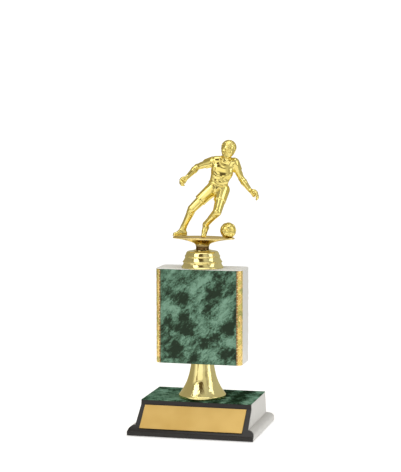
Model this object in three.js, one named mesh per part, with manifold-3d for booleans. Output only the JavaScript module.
// Figure trophy: a plinth, a trumpet riser, a marble-faced column, a ribbed collar and a plated player
// on a boat-shaped stand, all clamped by one tie rod. Millimetres, +Z up, the front faces -Y, and the
// origin is the middle of the footprint on the surface that the trophy stands on.
import * as THREE from "three";
import { mergeVertices } from "three/addons/utils/BufferGeometryUtils.js";
import Module from "manifold-3d";

const wasm = await Module();
wasm.setup();

// ---------------------------------------------------------------- driving dimensions
const GAP = 0.1;                    // left between stacked pieces
const FIT = 0.3;                    // left round a piece that sits in a pocket
const ROD_Y = 2;                    // the tie rod stands just behind the middle of the plinth
const SEGMENTS = 36;                // facets round the visible turned pieces

const BASE = {
  halfDepth: 47, halfWidth: 56.8, top: 28.6, rim: 0.6, wall: 2.2,
  topHalfWidth: 50, topBack: 39.1, lipY: -23.2, lipBottom: 24.2, ledgeY: -45.7, ledgeZ: 4.5,
  beadTop: 9.1, beadBottom: 4, sideDraft: 0.8, panel: 1.6,
};
const LAMINATE = 0.4;
const PLATE = { width: 92.5, height: 26, thick: 0.6, tape: 0.3, fromLedge: 3, tapeInset: 3 };
const WEIGHT = { width: 84, depth: 40, height: 8, top: 25.6 };
const COVER = { bottom: 1.6, thick: 1.4, halfWidth: 53.4, front: -40.9, back: 43.3 };
const PAD = { radius: 5, height: 1.5, x: 44, front: -33, back: 36 };

const RISER = { bottom: 28.7, top: 60.7, wall: 1.5, boss: 5.2 };
const COLUMN = { width: 78.8, depth: 32.8, corner: 4.8, bottom: 60.8, top: 145.5, wall: 2, cap: 0.4 };
const PLUG = { depth: 2.5, clear: 0.2, corner: 2.3 };   // the caps' plugs, which fill the column's two ends
const COLLAR = { bottom: 145.6, top: 161.3, boss: 5.2, ceiling: 2.4, footInside: 16.6, shoulderInside: 12 };
const ROD = { radius: 3, bottom: 7.5, top: 169.4, hole: 3.4 };
const NUT = { flats: 10, bottom: 10.4, top: 15.4, hole: 3.2 };
const WASHER = { radius: 10, bottom: 15.6, top: 17.3 };

const DISH = { neckBottom: 161.5, top: 172.7, halfLength: 28.2, halfWidth: 13.5, centreX: 1 };
const INSERT = { bottom: 162.2, top: 169.3, radius: 4.3, hole: 3.12 };
const BALL = { radius: 7.15, x: 23.4, lift: 6.5 };   // lift: its centre above the dish's top face

// ---------------------------------------------------------------- materials
function finish(color, roughness, metalness) {
  return new THREE.MeshStandardMaterial({ color, roughness, metalness });
}
const gold = finish(0xd8bb58, 0.12, 1.0);
const satinGold = finish(0xd8b76b, 0.4, 0.9);
const prismFoil = finish(0xe2bd66, 0.25, 0.9);
const marble = finish(0x3f6653, 0.35, 0.0);
const paleGrey = finish(0xcfccc6, 0.45, 0.1);
const capWhite = finish(0xe4e5e2, 0.4, 0.1);
const black = finish(0x322b28, 0.3, 0.0);
const steel = finish(0x8f9397, 0.4, 1.0);
const brass = finish(0xb58d3d, 0.35, 1.0);
const tape = finish(0xe8e4d8, 0.8, 0.0);
const felt = finish(0x2b2b2b, 0.95, 0.0);
const rubber = finish(0x1c1c1c, 0.8, 0.0);

// ---------------------------------------------------------------- helpers
const trophy = new THREE.Group();

function add(name, geometry, material, parent = trophy) {
  const mesh = new THREE.Mesh(geometry, material);
  mesh.name = name;
  parent.add(mesh);
}

// A closed geometry as a solid that can be joined and cut.
function solid(geometry) {
  const bare = geometry.clone();
  bare.deleteAttribute("normal");
  bare.deleteAttribute("uv");
  const merged = mergeVertices(bare, 1e-4);
  const vertProperties = new Float32Array(merged.attributes.position.array);
  const triVerts = new Uint32Array(merged.index.array);
  return new wasm.Manifold(new wasm.Mesh({ numProp: 3, vertProperties, triVerts }));
}

function geometryOf(manifold) {
  const mesh = manifold.getMesh();
  const geometry = new THREE.BufferGeometry();
  geometry.setAttribute("position", new THREE.BufferAttribute(new Float32Array(mesh.vertProperties), 3));
  geometry.setIndex(new THREE.BufferAttribute(new Uint32Array(mesh.triVerts), 1));
  return geometry;
}

function joined(solids) {
  return solids.reduce((all, next) => all.add(next));
}

// A turned piece: the profile runs up the outside, as [radius, height] pairs, round the rod's axis.
function turned(profile, segments = SEGMENTS) {
  const points = profile.map(([r, z]) => new THREE.Vector2(r, z));
  const first = points[0];
  const closesOnItself = first.x > 0;
  if (closesOnItself) {
    points.push(first.clone());
  }
  const geometry = new THREE.LatheGeometry(points, segments);
  geometry.rotateX(Math.PI / 2);
  geometry.translate(0, ROD_Y, 0);
  return geometry;
}

function tube(inner, outer, bottom, top, segments = 24) {
  return turned([[outer, bottom], [outer, top], [inner, top], [inner, bottom]], segments);
}

function rodHole(radius = ROD.hole) {
  return solid(turned([[0, -1], [radius, -1], [radius, 300], [0, 300]], 24));
}

function polygon(points) {
  return new THREE.Shape(points.map(([x, y]) => new THREE.Vector2(x, y)));
}

// An outline drawn in X and Z, extruded along Y.
function alongY(shape, from, to) {
  const geometry = new THREE.ExtrudeGeometry(shape, { depth: to - from, bevelEnabled: false });
  geometry.rotateX(Math.PI / 2);
  geometry.translate(0, to, 0);
  return geometry;
}

// An outline drawn in Y and Z, extruded along X between -half and +half.
function alongX(shape, half) {
  const geometry = new THREE.ExtrudeGeometry(shape, { depth: 2 * half, bevelEnabled: false });
  const turn = new THREE.Matrix4().makeBasis(
    new THREE.Vector3(0, 1, 0), new THREE.Vector3(0, 0, 1), new THREE.Vector3(1, 0, 0));
  geometry.applyMatrix4(turn);
  geometry.translate(-half, 0, 0);
  return geometry;
}

// An outline drawn in X and Y, extruded up from one height to another.
function upward(shape, from, to, y = 0) {
  const options = { depth: to - from, bevelEnabled: false, curveSegments: 6 };
  const geometry = new THREE.ExtrudeGeometry(shape, options);
  geometry.translate(0, y, from);
  return geometry;
}

function box(width, depth, bottom, top, y = ROD_Y) {
  const geometry = new THREE.BoxGeometry(width, depth, top - bottom);
  geometry.translate(0, y, (bottom + top) / 2);
  return geometry;
}

function roundedRect(width, depth, radius) {
  const x = width / 2 - radius;
  const y = depth / 2 - radius;
  const shape = new THREE.Shape();
  shape.absarc(x, y, radius, 0, Math.PI / 2);
  shape.absarc(-x, y, radius, Math.PI / 2, Math.PI);
  shape.absarc(-x, -y, radius, Math.PI, 1.5 * Math.PI);
  shape.absarc(x, -y, radius, 1.5 * Math.PI, 2 * Math.PI);
  return shape;
}

// A quarter of an ellipse from [x0 + 0, top] out to [x0 + reach, bottom], the section of the foot bead.
function beadArc(x0, reach, steps = 6) {
  const points = [];
  for (let i = 0; i <= steps; i += 1) {
    const angle = (Math.PI / 2) * (1 - i / steps);
    const x = x0 + reach * Math.cos(angle);
    const z = BASE.beadBottom + (BASE.beadTop - BASE.beadBottom) * Math.sin(angle);
    points.push([x, z]);
  }
  return points;
}

// ---------------------------------------------------------------- plinth
const slope = (BASE.lipBottom - BASE.ledgeZ) / (BASE.lipY - BASE.ledgeY);
const slopeLength = Math.hypot(1, slope);
const slopeAngle = Math.atan(slope);

// The front of the plinth in Y and Z, from the lip's top edge down to the foot, moved in by an offset.
// Far enough in, the ledge above the foot is used up and the slope runs straight on to the foot.
function frontLine(offset, top, bottom) {
  const footY = -BASE.halfDepth + offset;
  const ledgeY = BASE.ledgeY + (offset * (slopeLength - 1)) / slope;
  const ledgeZ = BASE.ledgeZ - offset;
  const slopeAtFoot = BASE.ledgeZ - offset * slopeLength + slope * (footY - BASE.ledgeY);
  const ledge = ledgeY > footY ? [[ledgeY, ledgeZ], [footY, ledgeZ]] : [[footY, slopeAtFoot]];
  return [
    [BASE.lipY + offset, top],
    [BASE.lipY + offset, BASE.lipBottom - offset * (slopeLength - slope)],
    ...ledge,
    [footY, bottom],
  ];
}

// The plinth seen from the front, in X and Z: drafted sides that end in a quarter-round bead.
function widthOutline(top, bottom) {
  const foot = BASE.topHalfWidth + BASE.sideDraft;
  const side = beadArc(foot, BASE.halfWidth - foot);
  const right = [[BASE.topHalfWidth, top], ...side, [BASE.halfWidth, bottom]];
  const left = right.map(([x, z]) => [-x, z]).reverse();
  return polygon([...left, ...right]);
}

// The plinth seen from the side, in Y and Z, with its front face moved in by an offset.
function depthOutline(offset, top, bottom) {
  const back = beadArc(BASE.topBack + BASE.sideDraft, BASE.halfDepth - BASE.topBack - BASE.sideDraft);
  return polygon([
    ...frontLine(offset, top, bottom),
    [BASE.halfDepth, bottom],
    ...back.reverse(),
    [BASE.topBack, top],
  ]);
}

function baseBlock() {
  return solid(alongY(widthOutline(BASE.top, BASE.rim), -BASE.halfDepth - 1, BASE.halfDepth + 1));
}

function baseShell() {
  const top = BASE.top - LAMINATE - GAP;
  const frontOffset = BASE.panel + 0.2;
  const outer = baseBlock().intersect(solid(alongX(depthOutline(frontOffset, top, BASE.rim), 70)));
  const wall = BASE.wall;
  const hollowWidth = polygon([
    [-BASE.topHalfWidth + wall, top - wall], [-BASE.topHalfWidth + wall - 0.4, BASE.beadTop],
    [-BASE.halfWidth + wall + 1, BASE.beadBottom], [-BASE.halfWidth + wall + 0.4, -1],
    [BASE.halfWidth - wall - 0.4, -1], [BASE.halfWidth - wall - 1, BASE.beadBottom],
    [BASE.topHalfWidth - wall + 0.4, BASE.beadTop], [BASE.topHalfWidth - wall, top - wall],
  ]);
  const hollowDepth = polygon([
    ...frontLine(frontOffset + wall, top - wall, -1),
    [BASE.halfDepth - wall - 0.4, -1], [BASE.halfDepth - wall - 1, BASE.beadBottom],
    [BASE.topBack - wall + 0.4, BASE.beadTop], [BASE.topBack - wall, top - wall],
  ]);
  const hollow = solid(alongY(hollowWidth, -60, 60)).intersect(solid(alongX(hollowDepth, 70)));
  return geometryOf(outer.subtract(hollow).subtract(rodHole()));
}

function baseFrontPanel() {
  const top = BASE.top - LAMINATE - GAP;
  const outer = frontLine(0, top, BASE.rim);
  const inner = frontLine(BASE.panel, top, BASE.rim).reverse();
  return geometryOf(baseBlock().intersect(solid(alongX(polygon([...outer, ...inner]), 70))));
}

function baseTopLaminate() {
  const depth = BASE.topBack - BASE.lipY;
  const middle = BASE.lipY + depth / 2;
  const sheet = solid(box(2 * BASE.topHalfWidth, depth, BASE.top - LAMINATE, BASE.top, middle));
  return geometryOf(sheet.subtract(rodHole()));
}

// A thin sheet on the sloping front, standing off the slope by a distance.
function onSlope(width, height, thick, standOff) {
  const geometry = new THREE.BoxGeometry(width, height, thick);
  geometry.translate(0, PLATE.fromLedge + PLATE.height / 2, standOff + thick / 2);
  geometry.rotateX(slopeAngle);
  geometry.translate(0, BASE.ledgeY, BASE.ledgeZ);
  return geometry;
}

add("base_shell", baseShell(), paleGrey);
add("base_front_panel", baseFrontPanel(), black);
add("base_top_laminate", baseTopLaminate(), marble);
const tapeWidth = PLATE.width - 2 * PLATE.tapeInset;
const tapeHeight = PLATE.height - 2 * PLATE.tapeInset;
add("plate_tape", onSlope(tapeWidth, tapeHeight, PLATE.tape - GAP, GAP / 2), tape);
add("engraving_plate", onSlope(PLATE.width, PLATE.height, PLATE.thick, PLATE.tape), satinGold);

const weightBlock = solid(box(WEIGHT.width, WEIGHT.depth, WEIGHT.top - WEIGHT.height, WEIGHT.top));
add("base_weight", geometryOf(weightBlock.subtract(rodHole())), steel);

const coverDepth = COVER.back - COVER.front;
const coverMiddle = (COVER.back + COVER.front) / 2;
add("base_bottom_cover",
  box(2 * COVER.halfWidth, coverDepth, COVER.bottom, COVER.bottom + COVER.thick, coverMiddle), felt);

for (const [end, y] of [["front", PAD.front], ["back", PAD.back]]) {
  for (const [side, x] of [["left", -PAD.x], ["right", PAD.x]]) {
    const pad = turned([[0, 0], [PAD.radius, 0], [PAD.radius, PAD.height], [0, PAD.height]], 24);
    pad.translate(x, y - ROD_Y, 0);
    add(`foot_pad_${end}_${side}`, pad, rubber);
  }
}

// ---------------------------------------------------------------- tie rod and its nut
add("tie_rod", turned([
  [0, ROD.bottom], [ROD.radius - 0.6, ROD.bottom], [ROD.radius, ROD.bottom + 0.6],
  [ROD.radius, ROD.top - 0.6], [ROD.radius - 0.6, ROD.top], [0, ROD.top],
], 24), steel);
add("rod_washer", tube(ROD.hole, WASHER.radius, WASHER.bottom, WASHER.top), steel);

const nutBlank = solid(turned([
  [0, NUT.bottom], [NUT.flats / Math.sqrt(3), NUT.bottom], [NUT.flats / Math.sqrt(3), NUT.top], [0, NUT.top],
], 6));
add("rod_nut", geometryOf(nutBlank.subtract(rodHole(NUT.hole))), steel);

// ---------------------------------------------------------------- riser
// The trumpet's outside as [radius, height above its foot].
const trumpet = [
  [21.25, 0], [21.25, 2], [20.9, 2.8], [17.6, 7.7], [14.4, 13.8],
  [12.3, 20], [10.9, 26], [10.2, 31.2], [10.2, 32],
];

// A thin trumpet with a flat top, and a tube in its middle that carries the clamping load.
function riser() {
  const outside = trumpet.map(([r, z]) => [r, RISER.bottom + z]);
  const ceiling = RISER.top - RISER.wall;
  const flare = trumpet.slice(2, -2).reverse();
  const inside = flare.map(([r, z]) => [r - RISER.wall, RISER.bottom + z]);
  const wall = turned([
    ...outside, [ROD.hole, RISER.top], [ROD.hole, ceiling], [inside[0][0], ceiling],
    ...inside, [trumpet[0][0] - RISER.wall, RISER.bottom],
  ]);
  const core = tube(ROD.hole, RISER.boss, RISER.bottom, ceiling + 0.5, SEGMENTS);
  return geometryOf(solid(wall).add(solid(core)));
}
add("riser", riser(), gold);

// ---------------------------------------------------------------- column
const cornerX = COLUMN.width / 2 - COLUMN.corner;
const cornerY = COLUMN.depth / 2 - COLUMN.corner;
const skin = LAMINATE + GAP;

// The shell's section has a rebate as deep as the facings, from side to side over each rounded corner.
function columnShell() {
  const top = COLUMN.top - COLUMN.cap - GAP;
  const depth = COLUMN.depth - 2 * skin;
  const section = roundedRect(COLUMN.width - 2 * skin, depth, COLUMN.corner - skin);
  const bore = roundedRect(COLUMN.width - 2 * COLUMN.wall, depth - 2 * COLUMN.wall, PLUG.corner + PLUG.clear);
  const middle = solid(upward(section, COLUMN.bottom, top, ROD_Y));
  const sides = solid(box(COLUMN.width, 2 * cornerY - 2 * GAP, COLUMN.bottom, top));
  const hollow = solid(upward(bore, COLUMN.bottom - 1, top + 1, ROD_Y));
  return geometryOf(middle.add(sides).subtract(hollow));
}

function capPlug(from, to) {
  const inset = COLUMN.wall + PLUG.clear;
  const section = roundedRect(COLUMN.width - 2 * inset, COLUMN.depth - 2 * skin - 2 * inset, PLUG.corner);
  return solid(upward(section, from, to, ROD_Y));
}

function columnTopCap() {
  const lid = solid(upward(roundedRect(COLUMN.width, COLUMN.depth, COLUMN.corner),
    COLUMN.top - COLUMN.cap, COLUMN.top, ROD_Y));
  const plug = capPlug(COLUMN.top - COLUMN.cap - PLUG.depth, COLUMN.top - COLUMN.cap / 2);
  return geometryOf(lid.add(plug).subtract(rodHole()));
}

function flatFacing(side) {
  const facing = box(2 * cornerX - 2 * GAP, LAMINATE, COLUMN.bottom, COLUMN.top - COLUMN.cap - GAP, ROD_Y);
  facing.translate(0, side * (COLUMN.depth / 2 - LAMINATE / 2), 0);
  return facing;
}

// A foil strip is a quarter ring round one upright corner.
function goldEdge(sideX, sideY) {
  const shape = new THREE.Shape();
  shape.absarc(0, 0, COLUMN.corner, 0, Math.PI / 2, false);
  shape.absarc(0, 0, COLUMN.corner - LAMINATE, Math.PI / 2, 0, true);
  const strip = upward(shape, COLUMN.bottom, COLUMN.top - COLUMN.cap - GAP);
  const quarterTurns = { "1,1": 0, "-1,1": 1, "-1,-1": 2, "1,-1": 3 }[`${sideX},${sideY}`];
  strip.rotateZ((quarterTurns * Math.PI) / 2);
  strip.translate(sideX * cornerX, ROD_Y + sideY * cornerY, 0);
  return strip;
}

add("column_shell", columnShell(), paleGrey);
const bottomPlug = capPlug(COLUMN.bottom, COLUMN.bottom + PLUG.depth);
add("column_bottom_cap", geometryOf(bottomPlug.subtract(rodHole())), capWhite);
add("column_top_cap", columnTopCap(), capWhite);
add("column_front_laminate", flatFacing(-1), marble);
add("column_back_laminate", flatFacing(1), marble);
for (const [end, sideY] of [["front", -1], ["back", 1]]) {
  for (const [side, sideX] of [["left", -1], ["right", 1]]) {
    add(`gold_edge_${end}_${side}`, goldEdge(sideX, sideY), prismFoil);
  }
}

// ---------------------------------------------------------------- collar
// Three flared tiers, widest at the foot, as [radius, height above the collar's foot].
const tiers = [
  [18.6, 0], [18.9, 0.9], [17.1, 4.4], [16.9, 4.8], [17.8, 5.4], [15.6, 9.4], [15.3, 9.8],
  [16.0, 10.4], [14.1, 14.2], [12.6, 14.8], [8.4, 15.1], [8, 15.7],
];

function collar() {
  const outside = tiers.map(([r, z]) => [r, COLLAR.bottom + z]);
  const ceiling = COLLAR.top - COLLAR.ceiling;
  const wall = turned([
    ...outside, [ROD.hole, COLLAR.top], [ROD.hole, ceiling],
    [COLLAR.shoulderInside, ceiling], [COLLAR.footInside, COLLAR.bottom],
  ]);
  const core = tube(ROD.hole, COLLAR.boss, COLLAR.bottom, ceiling + 0.5, SEGMENTS);
  return geometryOf(solid(wall).add(solid(core)));
}
add("figure_collar", collar(), gold);

// ---------------------------------------------------------------- the figure unit, which turns on the rod
// The dish's outline is a pointed oval: two arcs that meet at its ends.
function dishRing(halfLength, halfWidth, centreX, z, pointed, count = 40) {
  const ring = [];
  for (let i = 0; i < count; i += 1) {
    const angle = (2 * Math.PI * i) / count;
    const along = Math.cos(angle);
    const across = Math.sin(angle) * (1 - pointed * 0.22 * Math.abs(along) ** 1.5);
    ring.push([centreX + halfLength * along, halfWidth * across, z]);
  }
  return ring;
}

// Skins a stack of rings that have the same number of points, and closes both ends.
function lofted(rings) {
  const count = rings[0].length;
  const positions = rings.flat(2);
  const index = [];
  for (let r = 0; r < rings.length - 1; r += 1) {
    for (let i = 0; i < count; i += 1) {
      const a = r * count + i;
      const b = r * count + ((i + 1) % count);
      index.push(a, b, b + count, a, b + count, a + count);
    }
  }
  const last = (rings.length - 1) * count;
  for (let i = 1; i < count - 1; i += 1) {
    index.push(0, i + 1, i);
    index.push(last, last + i, last + i + 1);
  }
  const geometry = new THREE.BufferGeometry();
  geometry.setAttribute("position", new THREE.Float32BufferAttribute(positions, 3));
  geometry.setIndex(index);
  return geometry;
}

// The hull under the deck as [reach, height]: a round neck that flares out into the dish's outline.
const hull = [
  [6.1, 161.5], [5.9, 163.2], [6.3, 165.4], [7.7, 167],
  [10.6, 168.3], [15.2, 169.5], [21.4, 170.6], [28.2, 171.3],
];

function figureStand() {
  const neck = hull[0][0];
  const rings = hull.map(([reach, z]) => {
    const share = Math.max((reach - neck) / (DISH.halfLength - neck), 0);
    const width = reach + (DISH.halfWidth - DISH.halfLength) * share;
    return dishRing(reach, width, DISH.centreX * share, z, share);
  });
  rings.push(dishRing(DISH.halfLength, DISH.halfWidth, DISH.centreX, DISH.top, 1));
  const stand = lofted(rings);
  stand.translate(0, ROD_Y, 0);
  const bore = solid(turned([[0, 160], [INSERT.radius + 0.2, 160], [INSERT.radius + 0.2, INSERT.top + 0.3],
    [0, INSERT.top + 0.3]], 24));
  const ballPocket = new THREE.IcosahedronGeometry(BALL.radius + FIT, 3);
  ballPocket.translate(BALL.x, ROD_Y, DISH.top + BALL.lift);
  return geometryOf(solid(stand).subtract(bore).subtract(solid(ballPocket)));
}

function soccerBall() {
  const ball = new THREE.IcosahedronGeometry(BALL.radius, 3);
  ball.translate(BALL.x, ROD_Y, DISH.top + BALL.lift);
  return ball;
}

// The player's joints, from the middle of the dish's top face. Left and right are the player's own.
const POSE = {
  head: [23.4, 0.7, 78.4], neckTop: [22, 1.8, 73], neckBase: [19.7, 3.8, 68.2],
  chest: [17.2, 4.1, 61.8], waist: [13.9, 3.9, 49.6], pelvis: [13, 4.2, 44.2],
  rightShoulder: [8.6, 3.6, 67], rightElbow: [-6.9, 8.6, 62], rightWrist: [-14.6, 1.7, 53],
  rightHand: [-20.4, -0.8, 48.2],
  leftShoulder: [27.7, 5.4, 66.3], leftElbow: [32.7, 12, 51.9], leftWrist: [41.4, 9, 41.6],
  leftHand: [47.4, 7.6, 37.6],
  rightHip: [8.6, 3.7, 42.5], rightKnee: [-8.7, -3.1, 25.4], rightAnkle: [-18, 3.1, 8.6],
  rightHeel: [-17.2, 3.6, 2.9], rightToe: [-25, -1.6, 2.2],
  leftHip: [17.4, 4.8, 41.5], leftKnee: [15.7, -10.2, 23.6], leftAnkle: [3.3, -2, 11],
  leftToe: [2.2, -5.8, 2.6],
};

// A tapered bar with round ends between two joints, squeezed front to back by a factor.
function limb(from, to, fromRadius, toRadius, squeeze = 1) {
  const start = new THREE.Vector3(...POSE[from]);
  const end = new THREE.Vector3(...POSE[to]);
  const axis = end.clone().sub(start);
  const length = axis.length();
  const lean = Math.asin((fromRadius - toRadius) / length);
  const profile = [];
  const steps = 2;
  for (let i = 0; i <= steps; i += 1) {
    const angle = -Math.PI / 2 + ((lean + Math.PI / 2) * i) / steps;
    profile.push(new THREE.Vector2(i === 0 ? 0 : fromRadius * Math.cos(angle), fromRadius * Math.sin(angle)));
  }
  for (let i = 0; i <= steps; i += 1) {
    const angle = lean + ((Math.PI / 2 - lean) * i) / steps;
    const radius = i === steps ? 0 : toRadius * Math.cos(angle);
    profile.push(new THREE.Vector2(radius, length + toRadius * Math.sin(angle)));
  }
  const geometry = new THREE.LatheGeometry(profile, 10);
  geometry.scale(1, 1, squeeze);
  const up = axis.normalize();
  const depth = new THREE.Vector3(0, 1, 0);
  depth.addScaledVector(up, -depth.dot(up)).normalize();
  const across = up.clone().cross(depth);
  geometry.applyMatrix4(new THREE.Matrix4().makeBasis(across, up, depth).setPosition(start));
  return solid(geometry);
}

function figurePlayer() {
  const torso = [
    limb("waist", "chest", 9.0, 10.8, 0.68), limb("pelvis", "waist", 9.6, 8.6, 0.75),
    limb("chest", "rightShoulder", 7.0, 4.6, 0.9), limb("chest", "leftShoulder", 7.0, 4.6, 0.9),
    limb("neckBase", "neckTop", 4.4, 3.6), limb("neckTop", "head", 5.0, 6.9, 0.98),
  ];
  const arms = ["right", "left"].flatMap((side) => [
    limb(`${side}Shoulder`, `${side}Elbow`, 4.3, 2.9), limb(`${side}Elbow`, `${side}Wrist`, 2.8, 1.8),
    limb(`${side}Wrist`, `${side}Hand`, 1.9, 2.9),
  ]);
  const legs = ["right", "left"].flatMap((side) => [
    limb(`${side}Hip`, `${side}Knee`, 7.2, 3.9), limb(`${side}Knee`, `${side}Ankle`, 3.9, 2.4),
  ]);
  const feet = [
    limb("rightAnkle", "rightHeel", 2.4, 2.5), limb("rightHeel", "rightToe", 2.5, 1.8),
    limb("leftAnkle", "leftToe", 2.6, 2.1),
  ];
  const player = joined([...torso, ...arms, ...legs, ...feet]);
  const clearOfDish = new THREE.BoxGeometry(90, 60, 20);
  clearOfDish.translate(0, 0, FIT - 10);
  const geometry = geometryOf(player.subtract(solid(clearOfDish)));
  geometry.translate(0, ROD_Y, DISH.top);
  return geometry;
}

const figure = new THREE.Group();
trophy.add(figure);
add("figure_stand", figureStand(), gold, figure);
add("figure_insert", tube(INSERT.hole, INSERT.radius, INSERT.bottom, INSERT.top), brass, figure);
add("figure_player", figurePlayer(), gold, figure);
add("soccer_ball", soccerBall(), gold, figure);

export default trophy;
